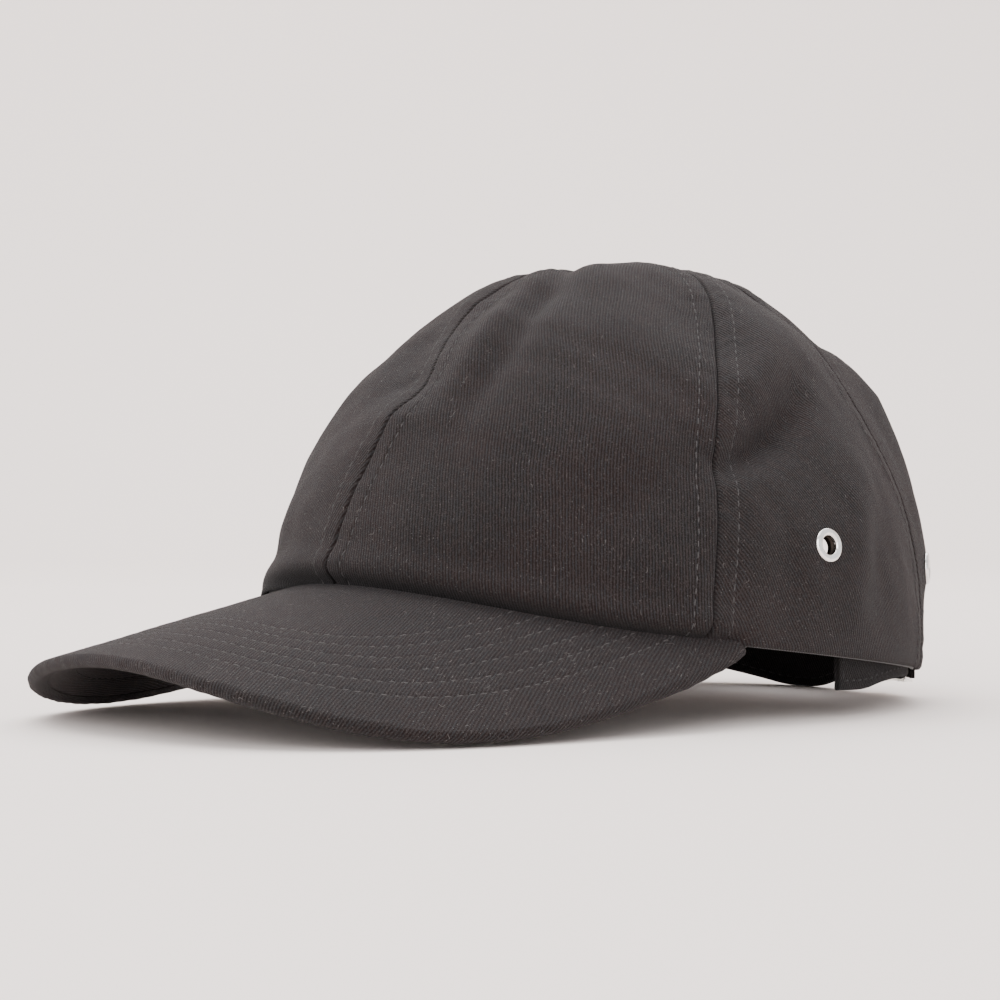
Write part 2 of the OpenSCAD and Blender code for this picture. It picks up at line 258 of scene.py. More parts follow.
def relief(phi, t, p):
    """How far the resting cloth stands off the even dome, in mm."""
    a = across(phi, t)
    d = SWELL * np.sin(math.pi * a) * np.sin(np.radians(2 * t))
    for line, amp, w in _routes:
        dist, u = line_dist(p, line)
        depth = np.interp(u, np.linspace(0, 1, len(amp)), amp)
        d = d + depth * np.exp(-((dist / w) ** 2))
    calm = smooth(t / 10) * smooth((84 - t) / 10)
    d = d + 0.45 * calm * waves(p, 3, 34) + 0.16 * calm * waves(p, 5, 14)
    # the rim flares a little over the far front of the visor, and tucks in along the visor's seam
    h = p[..., 2] - rim_z(phi)
    sgn = np.where(phi > 180, phi - 360, phi)
    flare = smooth((-8 - sgn) / 18) * smooth((88 + sgn) / 14)
    d = d + 3.4 * flare * np.exp(-((h / 4.0) ** 2)) - 1.0 * flare * np.exp(-(((h - 12) / 6.0) ** 2))
    tuck = smooth((76.5 - fold(phi)) / 6.5)
    deep = 3.5 + 1.2 * smooth((sgn - 10) / 50) - 2.0 * flare
    d = d - deep * tuck * np.exp(-((np.maximum(h, 0) / 3.1) ** 3)) + 1.3 * tuck * np.exp(-(((h - 6.4) / 3.2) ** 2))
    hem = 1 - smooth((HEM_FROM - fold(phi)) / 2)
    d = d - 0.5 * hem * np.exp(-((h / 0.8) ** 2))
    return d


def drop(phi, t, p):
    """How far the sweatband's lower edge reaches down onto the visor's seam, in mm."""
    h = p[..., 2] - rim_z(phi)
    return 1.15 * smooth((76.5 - fold(phi)) / 3) * np.exp(-((h / 1.1) ** 2))


def surf(phi, t, depth=0.0):
    """The resting cloth's surface, or a layer that lies the given depth inside it."""
    p = dome(phi, t)
    n = dome_n(phi, t)
    out = p + (relief(phi, t, p) - depth)[..., None] * n
    if np.min(depth) > BAND_LAYER:
        out[..., 2] -= drop(phi, t, p)
    return out


def grid_normals(p):
    du = np.gradient(p, axis=0)
    dv = np.gradient(p, axis=1)
    n = np.cross(du, dv)
    return n / (np.linalg.norm(n, axis=-1, keepdims=True) + 1e-12)


def place(p):
    """mm in the cap's own axes to metres in the row frame."""
    return (np.asarray(p, float) - np.array([0, MID_Y, 0])) * MM


# ---------------------------------------------------------------- materials
def material(name):
    m = bpy.data.materials.new(name)
    m.use_nodes = True
    nt = m.node_tree
    bsdf = nt.nodes["Principled BSDF"]
    return m, nt, bsdf


class Graph:
    """Small helper for building node trees."""

    def __init__(self, nt):
        self.nt = nt

    def node(self, kind, **props):
        n = self.nt.nodes.new(kind)
        for k, v in props.items():
            setattr(n, k, v)
        return n

    def put(self, socket, value):
        if isinstance(value, bpy.types.NodeSocket):
            self.nt.links.new(value, socket)
        else:
            socket.default_value = value

    def math(self, op, a, b=0.0, clamp=False):
        n = self.node("ShaderNodeMath", operation=op, use_clamp=clamp)
        self.put(n.inputs[0], a)
        self.put(n.inputs[1], b)
        return n.outputs[0]

    def noise(self, vec, scale, detail=2.0, rough=0.5):
        n = self.node("ShaderNodeTexNoise")
        self.put(n.inputs["Vector"], vec)
        n.inputs["Scale"].default_value = scale
        n.inputs["Detail"].default_value = detail
        n.inputs["Roughness"].default_value = rough
        return n.outputs[0]

    def mix(self, fac, a, b):
        n = self.node("ShaderNodeMix", data_type="RGBA")
        self.put(n.inputs[0], fac)
        self.put(n.inputs[6], a)
        self.put(n.inputs[7], b)
        return n.outputs[2]

    def ramp(self, fac, lo, hi):
        n = self.node("ShaderNodeMapRange", clamp=True)
        n.interpolation_type = "SMOOTHSTEP"
        self.put(n.inputs[0], fac)
        n.inputs[1].default_value = lo
        n.inputs[2].default_value = hi
        return n.outputs[0]

    def bump(self, bsdf, height, strength, distance):
        n = self.node("ShaderNodeBump")
        n.inputs["Strength"].default_value = strength
        n.inputs["Distance"].default_value = distance
        self.put(n.inputs["Height"], height)
        self.put(bsdf.inputs["Normal"], n.outputs[0])

    def cloth_mm(self):
        uv = self.node("ShaderNodeUVMap", uv_map="cloth")
        n = self.node("ShaderNodeVectorMath", operation="SCALE")
        self.put(n.inputs[0], uv.outputs[0])
        n.inputs[3].default_value = 100.0
        return n.outputs[0]

    def object_mm(self):
        tc = self.node("ShaderNodeTexCoord")
        n = self.node("ShaderNodeVectorMath", operation="SCALE")
        self.put(n.inputs[0], tc.outputs["Object"])
        n.inputs[3].default_value = 1000.0
        return n.outputs[0]

    def spun(self, vec, degrees):
        n = self.node("ShaderNodeVectorRotate", rotation_type="Z_AXIS")
        self.put(n.inputs["Vector"], vec)
        n.inputs["Angle"].default_value = math.radians(degrees)
        return n.outputs[0]

    def split(self, vec):
        n = self.node("ShaderNodeSeparateXYZ")
        self.put(n.inputs[0], vec)
        return n.outputs

    def combine(self, x, y, z=0.0):
        n = self.node("ShaderNodeCombineXYZ")
        self.put(n.inputs[0], x)
        self.put(n.inputs[1], y)
        self.put(n.inputs[2], z)
        return n.outputs[0]


def lint(g, vec, cell, radius, share, spin, stretch, bend):
    """Pale dust and short curved fibres: stretched flat cells, of which a share holds one."""
    s = g.split(g.spun(vec, spin))
    curve = g.math("MULTIPLY", g.math("SINE", g.math("MULTIPLY", s[0], 1.9)), bend)
    c = g.combine(g.math("DIVIDE", s[0], stretch), g.math("ADD", s[1], curve))
    n = g.node("ShaderNodeTexVoronoi", feature="F1", voronoi_dimensions="2D")
    g.put(n.inputs["Vector"], c)
    n.inputs["Scale"].default_value = 1.0 / cell
    near = g.math("LESS_THAN", n.outputs["Distance"], radius / cell)
    pick = g.split(n.outputs["Color"])
    crowd = g.math("MULTIPLY", g.ramp(g.noise(vec, 0.035, 1.0), 0.38, 0.66), share * 2.0)
    return g.math("MULTIPLY", near, g.math("LESS_THAN", pick[0], crowd))


CLOTH_TINT = 0.82  # darkens every twill together
# fibres of lint: cell in mm, direction in degrees, how long and how curved
FIBRES = ((3.1, 37, 7.0, 0.5), (4.3, 118, 9.0, 0.7), (3.6, 78, 6.0, 0.3), (6.0, 160, 12.0, 0.9))


def twill(name, angle, pitch=0.8, tint=1.0, dust=0.12, painted_hem_shade=False):
    """Black cotton twill: diagonal ribs of short floats, painted shade in the warm grooves between them, fuzz and
    lint, and optionally painted shade along the hem's lower edge.
    """
    m, nt, b = material(name)
    g = Graph(nt)
    uv = g.cloth_mm()
    obj = g.object_mm()
    warp = g.node("ShaderNodeVectorMath", operation="ADD")
    g.put(warp.inputs[0], uv)
    wob = g.combine(g.noise(obj, 0.05, 1.0), g.noise(obj, 0.06, 1.0))
    wob2 = g.node("ShaderNodeVectorMath", operation="SCALE")
    g.put(wob2.inputs[0], wob)
    wob2.inputs[3].default_value = 1.6
    g.put(warp.inputs[1], wob2.outputs[0])
    s = g.split(g.spun(warp.outputs[0], -angle))
    along, perp = s[0], s[1]
    fine = g.noise(obj, 1.9, 2.0)
    perp = g.math("ADD", perp, g.math("MULTIPLY", g.math("SUBTRACT", fine, 0.5), 0.3))
    ribs = g.math("DIVIDE", perp, pitch)
    rib = g.math("ADD", g.math("MULTIPLY", g.math("COSINE", g.math("MULTIPLY", ribs, 2 * math.pi)), 0.5), 0.5)
    index = g.math("FLOOR", g.math("ADD", ribs, 0.5))
    slant = g.math("ADD", g.math("DIVIDE", along, 0.62), g.math("MULTIPLY", index, 0.37))
    float_ = g.math("ADD", g.math("MULTIPLY", g.math("COSINE", g.math("MULTIPLY", slant, 2 * math.pi)), 0.5), 0.5)
    fuzz = g.noise(obj, 4.2, 3.0, 0.7)
    height = g.math("MULTIPLY", rib, g.math("ADD", g.math("MULTIPLY", float_, 0.25), 0.75))
    grit = g.noise(obj, 2.6, 2.0, 0.8)
    height = g.math("ADD", height, g.math("MULTIPLY", g.math("SUBTRACT", fuzz, 0.5), 1.9))
    height = g.math("ADD", height, g.math("MULTIPLY", g.math("SUBTRACT", grit, 0.5), 1.8))
    yarn = g.noise(g.combine(g.math("MULTIPLY", along, 0.3), g.math("MULTIPLY", index, 3.1)), 1.4, 1.0)
    patch = g.noise(obj, 0.03, 2.0)
    tint = tint * CLOTH_TINT
    warm = (0.0315 * tint, 0.0250 * tint, 0.0243 * tint, 1)
    cool = (0.0250 * tint, 0.0248 * tint, 0.0264 * tint, 1)
    top = g.mix(g.ramp(yarn, 0.35, 0.65), warm, cool)
    # painted shade: the grooves between the ribs take a dark reddish-brown colour, several times darker than the
    # rib tops
    groove_shade_brown = (0.0057 * tint, 0.0036 * tint, 0.0034 * tint, 1)
    groove_shade_red = (0.0105 * tint, 0.0046 * tint, 0.0042 * tint, 1)
    groove_shade = g.mix(g.ramp(patch, 0.3, 0.7), groove_shade_brown, groove_shade_red)
    colour = g.mix(g.ramp(height, 0.02, 1.0), groove_shade, top)
    worn = g.ramp(g.noise(obj, 2.4, 3.0, 0.75), 0.55, 0.72)
    pale = g.mix(worn, colour, (0.072 * tint, 0.064 * tint, 0.063 * tint, 1))
    spots = lint(g, uv, 2.6, 0.12, dust * 2.2, 20, 1.0, 0.0)
    for cell, spin, stretch, bend in FIBRES:
        spots = g.math("MAXIMUM", spots, lint(g, uv, cell, 0.085, dust, spin, stretch, bend))
    dusty = (0.31 * tint, 0.287 * tint, 0.28 * tint, 1)
    pale = g.mix(g.math("MULTIPLY", spots, 0.3), pale, dusty)
    if painted_hem_shade:
        # painted shade: the hem folded under onto the visor is painted near-black along its lower edge, where
        # shade falls
        height_up = g.math("ADD", g.split(uv)[1], g.math("MULTIPLY", fuzz, 0.6))
        pale = g.mix(g.ramp(height_up, 2.6, 7.6), (0.0035, 0.003, 0.003, 1), pale)
    g.put(b.inputs["Base Color"], pale)
    g.put(b.inputs["Roughness"], g.math("ADD", g.math("MULTIPLY", fuzz, 0.2), 0.74))
    b.inputs["Specular IOR Level"].default_value = 0.12
    b.inputs["Sheen Weight"].default_value = 0.07
    b.inputs["Sheen Roughness"].default_value = 0.45
    b.inputs["Sheen Tint"].default_value = (0.75, 0.72, 0.75, 1)
    g.bump(b, height, 0.8, 0.00022)
    return m


def plain_weave(name, colour, pitch=0.7, sheen=0.2):
    """Plain or ribbed tape: crossing threads over and under one another."""
    m, nt, b = material(name)
    g = Graph(nt)
    uv = g.cloth_mm()
    obj = g.object_mm()
    s = g.split(uv)
    a = g.math("SINE", g.math("MULTIPLY", s[0], 2 * math.pi / pitch))
    c = g.math("SINE", g.math("MULTIPLY", s[1], 2 * math.pi / pitch))
    weave = g.math("ADD", g.math("MULTIPLY", g.math("MULTIPLY", a, c), 0.35), 0.5)
    fuzz = g.noise(obj, 4.0, 3.0, 0.65)
    height = g.math("ADD", weave, g.math("MULTIPLY", fuzz, 0.4))
    # painted shade and painted highlight: the weave's hollows take a darker copy of the colour and its raised
    # threads a lighter one
    dark = tuple(x * 0.3 for x in colour[:3]) + (1,)
    light = tuple(min(1, x * 1.5) for x in colour[:3]) + (1,)
    g.put(b.inputs["Base Color"], g.mix(g.ramp(height, 0.25, 1.1), dark, light))
    g.put(b.inputs["Roughness"], g.math("ADD", g.math("MULTIPLY", fuzz, 0.2), 0.7))
    b.inputs["Specular IOR Level"].default_value = 0.25
    b.inputs["Sheen Weight"].default_value = sheen
    b.inputs["Sheen Roughness"].default_value = 0.5
    g.bump(b, height, 0.7, 0.0002)
    return m


def thread(name, colour):
    """Twisted sewing thread."""
    m, nt, b = material(name)
    g = Graph(nt)
    obj = g.object_mm()
    n = g.noise(obj, 4.0, 2.0, 0.7)
    dark = tuple(x * 0.5 for x in colour[:3]) + (1,)
    g.put(b.inputs["Base Color"], g.mix(g.ramp(n, 0.35, 0.65), dark, colour))
    b.inputs["Roughness"].default_value = 0.75
    b.inputs["Specular IOR Level"].default_value = 0.15
    b.inputs["Sheen Weight"].default_value = 0.05
    g.bump(b, n, 0.5, 0.0001)
    return m


def metal(name, colour, rough):
    """Nickel plate with fine handling scratches and a little tarnish."""
    m, nt, b = material(name)
    g = Graph(nt)
    obj = g.object_mm()
    s = g.split(g.spun(obj, 31))
    hair = g.noise(g.combine(g.math("MULTIPLY", s[0], 0.4), g.math("MULTIPLY", s[1], 9.0), s[2]), 1.0, 3.0, 0.6)
    cloud = g.noise(obj, 0.5, 3.0, 0.6)
    dull = tuple(x * 0.8 for x in colour[:3]) + (1,)
    g.put(b.inputs["Base Color"], g.mix(g.ramp(cloud, 0.4, 0.75), colour, dull))
    b.inputs["Metallic"].default_value = 1.0
    r = g.math("ADD", g.math("MULTIPLY", hair, 0.14), g.math("MULTIPLY", cloud, 0.12))
    g.put(b.inputs["Roughness"], g.math("ADD", r, rough - 0.13))
    g.bump(b, hair, 0.12, 0.00005)
    return m


def plastic(name, colour):
    m, nt, b = material(name)
    g = Graph(nt)
    n = g.noise(g.object_mm(), 1.2, 3.0, 0.6)
    g.put(b.inputs["Base Color"], g.mix(g.ramp(n, 0.3, 0.7), colour, tuple(x * 1.3 for x in colour[:3]) + (1,)))
    b.inputs["Roughness"].default_value = 0.6
    return m


# the front panels' twill carries the painted shade along the hem over the visor
TWILL_FRONT = twill("twill_front", 103.0, painted_hem_shade=True)
TWILL_SIDE = twill("twill_side", 121.0)
TWILL_REAR = twill("twill_rear", 110.0)
TWILL_VISOR = twill("twill_visor", 118.0, tint=0.97, dust=0.5)
# painted light: the under cover's twill is nearly twice as light as the crown's, for light bouncing up from the
# floor
TWILL_UNDER_PAINTED_LIGHT = twill("twill_under_painted_light", 118.0, tint=1.9, dust=0.05)
# painted shade: the strap's twill is about a fifth as light as the crown's, for the shade beneath the cap
TWILL_STRAP_SHADED = twill("twill_strap_painted_shade", 60.0, tint=0.22, dust=0.03)
TAPE = plain_weave("tape_weave", (0.017, 0.017, 0.019, 1))
BAND = plain_weave("sweatband_weave", (0.052, 0.050, 0.052, 1), pitch=0.9)
LABEL = plain_weave("label_weave", (0.62, 0.61, 0.6, 1), pitch=0.5, sheen=0.1)
THREAD = thread("thread_black", (0.066, 0.062, 0.063, 1))
THREAD_VISOR = thread("thread_visor", (0.086, 0.08, 0.08, 1))
THREAD_DARK = thread("thread_dark", (0.022, 0.021, 0.022, 1))
NICKEL = metal("nickel", (0.83, 0.815, 0.79, 1), 0.16)
NICKEL_DULL = metal("nickel_dull", (0.66, 0.65, 0.63, 1), 0.3)
# painted shade: the barrel is a near-black brown, standing in for the shade inside the eyelet's hole, over a brown
# tarnish
BARREL_SHADE_AND_TARNISH = metal("barrel_painted_shade_and_tarnish", (0.03, 0.024, 0.02, 1), 0.5)
BOARD = plastic("board_plastic", (0.1, 0.1, 0.1, 1))


# ---------------------------------------------------------------- mesh helpers
def new_object(name, data, body=None):
    o = bpy.data.objects.new(name, data)
    bpy.context.scene.collection.objects.link(o)
    if body:
        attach(o, body)
    return o


def face_outwards(me):
    bm = bmesh.new()
    bm.from_mesh(me)
    bmesh.ops.recalc_face_normals(bm, faces=bm.faces)
    bm.to_mesh(me)
    bm.free()


def add(name, verts, faces, mat, uv=None, body="cap", nodes=(), slot=None):
    """A mesh piece from mm points; uv is one pair a vertex, in mm."""
    me = bpy.data.meshes.new(name)
    me.from_pydata([tuple(v) for v in place(verts)], [], [tuple(int(i) for i in f) for f in faces])
    face_outwards(me)
    layer = me.uv_layers.new(name="cloth")
    if uv is None:
        uv = np.asarray(verts)[:, :2]
    loops = np.zeros(len(me.loops), np.int32)
    me.loops.foreach_get("vertex_index", loops)
    layer.data.foreach_set("uv", (np.asarray(uv, float)[loops] / 100.0).astype(np.float32).ravel())
    me.materials.append(mat)
    me.polygons.foreach_set("use_smooth", [True] * len(me.polygons))
    me.update()
    o = new_object(name, me, body)
    if nodes:
        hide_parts(*nodes)
    return o


def shell_faces(n, m, off):
    """Faces of a closed slab between two n by m grids of vertices; the second starts at off."""
    i, j = np.meshgrid(np.arange(n - 1), np.arange(m - 1), indexing="ij")
    a = (i * m + j).ravel()
    quad = np.stack([a, a + m, a + m + 1, a + 1], 1)
    faces = [quad, quad[:, ::-1] + off]
    ring = (
        [(0, j) for j in range(m)]
        + [(i, m - 1) for i in range(1, n)]
        + [(n - 1, j) for j in range(m - 2, -1, -1)]
        + [(i, 0) for i in range(n - 2, 0, -1)]
    )
    idx = np.array([i * m + j for i, j in ring])
    nxt = np.roll(idx, -1)
    faces.append(np.stack([idx, nxt, nxt + off, idx + off], 1))
    return np.concatenate(faces)


def add_shell(name, outer, inner, uv, mat, **kw):
    n, m = outer.shape[:2]
    verts = np.concatenate([outer.reshape(-1, 3), inner.reshape(-1, 3)])
    uvs = np.concatenate([uv.reshape(-1, 2), uv.reshape(-1, 2)])
    return add(name, verts, shell_faces(n, m, n * m), mat, uv=uvs, **kw)


def walked(p, axis):
    """Length walked over a grid of points along one of its two axes."""
    steps = np.cumsum(np.linalg.norm(np.diff(p, axis=axis), axis=-1), axis)
    return np.concatenate([np.zeros_like(steps[:1] if axis == 0 else steps[:, :1]), steps], axis)


def grid_uv(p):
    """Cloth coordinates on a grid: columns run along axis 0, rows up along axis 1, from the middle column."""
    u, v = walked(p, 0), walked(p, 1)
    u = u - u[p.shape[0] // 2][None, :]
    v = v[p.shape[0] // 2][None, :] * 0.5 + v * 0.5
    return np.stack([u, v], -1)


def resample(path, step):
    """Length along a path at its points, and the middles of equal steps along it."""
    d = np.concatenate([[0], np.cumsum(np.linalg.norm(np.diff(path, axis=0), axis=1))])
    n = max(int(d[-1] / step), 1)
    s = (np.arange(n) + 0.5) * d[-1] / n
    return d, s


def stitches(name, rows, mat, length=2.5, gap=0.55, radius=0.17, lift=0.05, body="cap", wobble=0.08):
    """Lock stitches: each a short thread that rises from the cloth and dips back at both ends.
    rows is a list of (points, normals) polylines in mm."""
    verts, faces = [], []
    rings, sides = 5, 6
    prof = np.array([-1.0, -0.62, 0.0, 0.62, 1.0])
    rad = np.array([0.45, 0.9, 1.0, 0.9, 0.45])
    dip = np.array([-1.5, -0.1, 0.35, -0.1, -1.5])
    base = 0
    for pts, nrm in rows:
        pts, nrm = np.asarray(pts), np.asarray(nrm)
        d, s = resample(pts, length + gap)
        if d[-1] < length + gap:
            continue
        for c in s:
            cc = c + rng.normal() * wobble
            half = length / 2 * (1 + rng.normal() * 0.05)
            q = np.clip(cc + prof * half, 0, d[-1])
            p = np.stack([np.interp(q, d, pts[:, k]) for k in range(3)], 1)
            n = np.stack([np.interp(q, d, nrm[:, k]) for k in range(3)], 1)
            n /= np.linalg.norm(n, axis=1, keepdims=True)
            tan = p[-1] - p[0]
            tan /= np.linalg.norm(tan) + 1e-9
            side = np.cross(tan, n)
            side /= np.linalg.norm(side, axis=1, keepdims=True)
            p = p + side * rng.normal() * wobble * 0.6
            ctr = p + n * (lift + rng.normal() * 0.04 + dip * radius)[:, None]
            for r in range(rings):
                for k in range(sides):
                    a = 2 * math.pi * k / sides
                    spoke = math.cos(a) * side[r] * 1.15 + math.sin(a) * n[r] * 0.8
                    verts.append(ctr[r] + radius * rad[r] * spoke)
            for r in range(rings - 1):
                for k in range(sides):
                    here, k2 = base + r * sides, (k + 1) % sides
                    faces.append((here + k, here + k2, here + sides + k2, here + sides + k))
            faces.append(tuple(base + k for k in range(sides))[::-1])
            faces.append(tuple(base + (rings - 1) * sides + k for k in range(sides)))
            base += rings * sides
    return add_poly(name, verts, faces, mat, body)


def add_poly(name, verts, faces, mat, body):
    me = bpy.data.meshes.new(name)
    me.from_pydata([tuple(v) for v in place(np.array(verts))], [], faces)
    face_outwards(me)
    me.materials.append(mat)
    me.polygons.foreach_set("use_smooth", [True] * len(me.polygons))
    o = new_object(name, me, body)
    return o


def apply_all(o):
    deps = bpy.context.evaluated_depsgraph_get()
    me = bpy.data.meshes.new_from_object(o.evaluated_get(deps))
    o.modifiers.clear()
    o.data = me


# ---------------------------------------------------------------- crown panels
PANELS = {
    "front_panel_left": (0, 1, 1, TWILL_FRONT),
    "front_panel_right": (0, 1, -1, TWILL_FRONT),
    "side_panel_left": (1, 2, 1, TWILL_SIDE),
    "side_panel_right": (1, 2, -1, TWILL_SIDE),
    "rear_panel_left": (2, 3, 1, TWILL_REAR),
    "rear_panel_right": (2, 3, -1, TWILL_REAR),
}
T_TOP = 87.2
SEAM_GAP = 0.035  # degrees between a panel and the middle of its seam
PANEL_WIDTHS = (98.0, 88.0, 86.0)
EYELET_CUT = 3.1
ARCH_T = math.degrees(math.asin((ARCH_H / (TOP_Z - REAR_Z)) ** (1 / HEIGHT_POW)))


def columns(width):
    """Shares across a panel, close together beside its seams."""
    near = [0, 0.1, 0.25, 0.5, 0.9, 1.4, 2.0, 2.8, 3.6, 4.3, 4.8, 5.15, 5.5, 5.85, 6.3, 7.0, 8.0, 9.4]
    inner = np.arange(near[-1] + 1.7, width / 2, 1.7)
    half = np.concatenate([near, inner]) / width
    return np.concatenate([half, [0.5], 1 - half[::-1]])


def seam_detail(dist, arc, seed):
    """Relief beside a seam: the sunk seam, the raised allowance, the sunk stitch row and light puckers."""
    g = np.random.default_rng(seed)
    ph = g.random() * 6
    pucker = np.sin(arc * 2 * math.pi / 6.3 + ph + 1.3 * np.sin(arc * 0.21))
    pucker = pucker + 0.6 * np.sin(arc * 2 * math.pi / 4.1 + 2 * ph)
    d = -0.55 * np.exp(-((dist / 0.3) ** 2))
    d = d + 0.3 * smooth((6.6 - dist) / 1.6) * (1 - np.exp(-((dist / 0.6) ** 2)))
    d = d - 0.2 * np.exp(-(((dist - STITCH_AT) / 0.45) ** 2))
    d = d + 0.085 * pucker * np.exp(-((dist - 4.2) / 4.5) ** 2)
    return d


crown_rows = []  # stitch rows: (points, normals)
eyelet_frames = {}

for node, (ka, kb, side, mat) in PANELS.items():
    gap = SEAM_GAP
    is_rear = ka == 2
    rows_t = np.concatenate([np.linspace(0, 3.2, 12)[:-1], np.linspace(3.2, T_TOP, 128)])
    s = columns(PANEL_WIDTHS[ka])
    S, T = np.meshgrid(s, rows_t, indexing="ij")
    if is_rear:
        # the arched opening lifts the lower edge near the middle of the back
        foot = 180 - ARCH_A
        phi_col = seam_angle(2, 0 * s) + gap + (180 - 2 * gap - seam_angle(2, 0 * s)) * s
        w = np.degrees(np.arccos(np.clip((180 - phi_col) / ARCH_A, 0, 1)))
        t_low = np.where(phi_col > foot, ARCH_T * np.sin(np.radians(w)), 0.0)
        frac = (rows_t - rows_t[0]) / (rows_t[-1] - rows_t[0])
        T = t_low[:, None] + (T_TOP - t_low[:, None]) * frac[None, :]
    lo, hi = panel_edges(ka, side, T)
    PHI = lo + gap * side + (hi - lo - 2 * gap * side) * S
    base = surf(PHI, T)
    nb = grid_normals(base) * side
    arc, up = walked(base, 0), walked(base, 1)
    da, db = arc, arc[-1][None, :] - arc
    fade = smooth((up[0][-1] - up) / 14)
    det = seam_detail(da, up, 11 * ka + (side > 0)) + seam_detail(db, up, 11 * kb + (side > 0))
    det = det * (0.35 + 0.65 * fade)
    if is_rear:
        # the bound edge of the arch: sunk row of stitches 6 mm above it
        on_arch = smooth((np.abs(PHI) - (180 - ARCH_A) - 1) / 3)
        turned = 0.3 * smooth((7 - up) / 1.5)
        stitched = -0.28 * np.exp(-(((up - STITCH_AT) / 0.55) ** 2))
        rolled = -0.4 * np.exp(-((up / 0.5) ** 2))
        det = det + on_arch * (turned + stitched + rolled)
    outer = base + nb * det[..., None]
    hem = 1 - smooth((HEM_FROM - fold(PHI)) / 2)
    thick = CLOTH + 0.75 * hem * smooth((8.0 - up) / 2.0)
    inner = base - nb * thick[..., None]
    # rounded lower edge
    soft = np.exp(-((up / 0.5) ** 2))[..., None]
    outer = outer - nb * 0.25 * soft
    inner = inner + nb * 0.25 * soft
    o = add_shell(node + "_cloth", outer, inner, grid_uv(base), mat, nodes=[node], slot="twill")
    n_out = grid_normals(outer) * side
    for dist in (da, db):
        pts, nrm = [], []
        for j in range(T.shape[1]):
            col = dist[:, j]
            if dist[:, j].max() < 11 or up[0][j] > up[0][-1] - 10:
                continue
            order = np.argsort(col)
            pts.append([np.interp(STITCH_AT, col[order], outer[order, j, c]) for c in range(3)])
            nrm.append([np.interp(STITCH_AT, col[order], n_out[order, j, c]) for c in range(3)])
        crown_rows.append((np.array(pts), np.array(nrm)))
    if is_rear:
        pts, nrm = [], []
        for i in range(len(s)):
            if abs(PHI[i, 0]) < 180 - ARCH_A + 1.5 or da[i, 8] < 0.3 or db[i, 8] < 0.3:
                continue
            col = up[i]
            pts.append([np.interp(STITCH_AT, col, outer[i, :, c]) for c in range(3)])
            nrm.append([np.interp(STITCH_AT, col, n_out[i, :, c]) for c in range(3)])
        crown_rows.append((np.array(pts), np.array(nrm)))
    # eyelet hole
    which = "side" if ka == 1 else ("rear" if ka == 2 else None)
    if which:
        phi0, t0 = EYELETS[which]
        p0 = surf(np.array([phi0 * side]), np.array([t0]))[0]
        e = 3.0
        pa = surf(np.array([phi0 * side + e, phi0 * side - e]), np.array([t0, t0]))
        pb = surf(np.array([phi0 * side] * 2), np.array([t0 + e, t0 - e]))
        n0 = np.cross(pa[0] - pa[1], pb[0] - pb[1])
        n0 /= np.linalg.norm(n0)
        eyelet_frames[which + ("_left" if side > 0 else "_right")] = (p0, n0)
        cutter = bpy.data.meshes.new("cut")
        bm = bmesh.new()
        rot = Vector(n0).to_track_quat("Z", "Y").to_matrix().to_4x4()
        bmesh.ops.create_cone(
            bm,
            cap_ends=True,
            segments=48,
            radius1=EYELET_CUT * MM,
            radius2=EYELET_CUT * MM,
            depth=14 * MM,
            matrix=Matrix.Translation(Vector(place(p0))) @ rot,
        )
        bm.to_mesh(cutter)
        bm.free()
        co = new_object("cut", cutter)
        mod = o.modifiers.new("hole", "BOOLEAN")
        mod.operation = "DIFFERENCE"
        mod.solver = "EXACT"
        mod.object = co
        apply_all(o)
        bpy.data.objects.remove(co)

stitches("crown_topstitch", crown_rows, THREAD, length=2.2, gap=0.9, radius=0.15, lift=0.03)

# ---------------------------------------------------------------- inner layers that follow the crown
def sheet_on_crown(name, phis, t_lo, t_hi, rows, depth, thick, mat, nodes, slot, bulge):
    """A lining that follows the crown; gives back its inner face."""
    P = np.repeat(np.asarray(phis)[:, None], rows, 1)
    f = np.linspace(0, 1, rows)[None, :]
    T = np.asarray(t_lo)[:, None] * (1 - f) + np.asarray(t_hi)[:, None] * f
    shape = bulge * np.sin(math.pi * f) * np.ones_like(T)
    outer = surf(P, T, depth)
    inner = surf(P, T, depth + thick + shape)
    add_shell(name, outer, inner, grid_uv(outer), mat, nodes=nodes, slot=slot)
    return inner


def t_at_height(phi, h):
    return np.degrees(np.arcsin((h / (TOP_Z - rim_z(phi))) ** (1 / HEIGHT_POW)))


BAND_END, BAND_H = 137.0, 22.5
phis = np.linspace(-BAND_END, BAND_END, 150)
band_top = t_at_height(phis, BAND_H)
inner = sheet_on_crown(
    "sweatband_cloth", phis, 0.0 * phis, band_top, 14, 1.95, 0.85, BAND, ["sweatband"], "tape", 0.5
)
n_in = -grid_normals(inner)
rows = [(inner[:, f], n_in[:, f]) for f in (2, 11)]
stitches("sweatband_stitch", rows, THREAD_DARK, length=3.0, gap=0.8, radius=0.2)


TAPE_TOP, TAPE_HALF = 73, 7


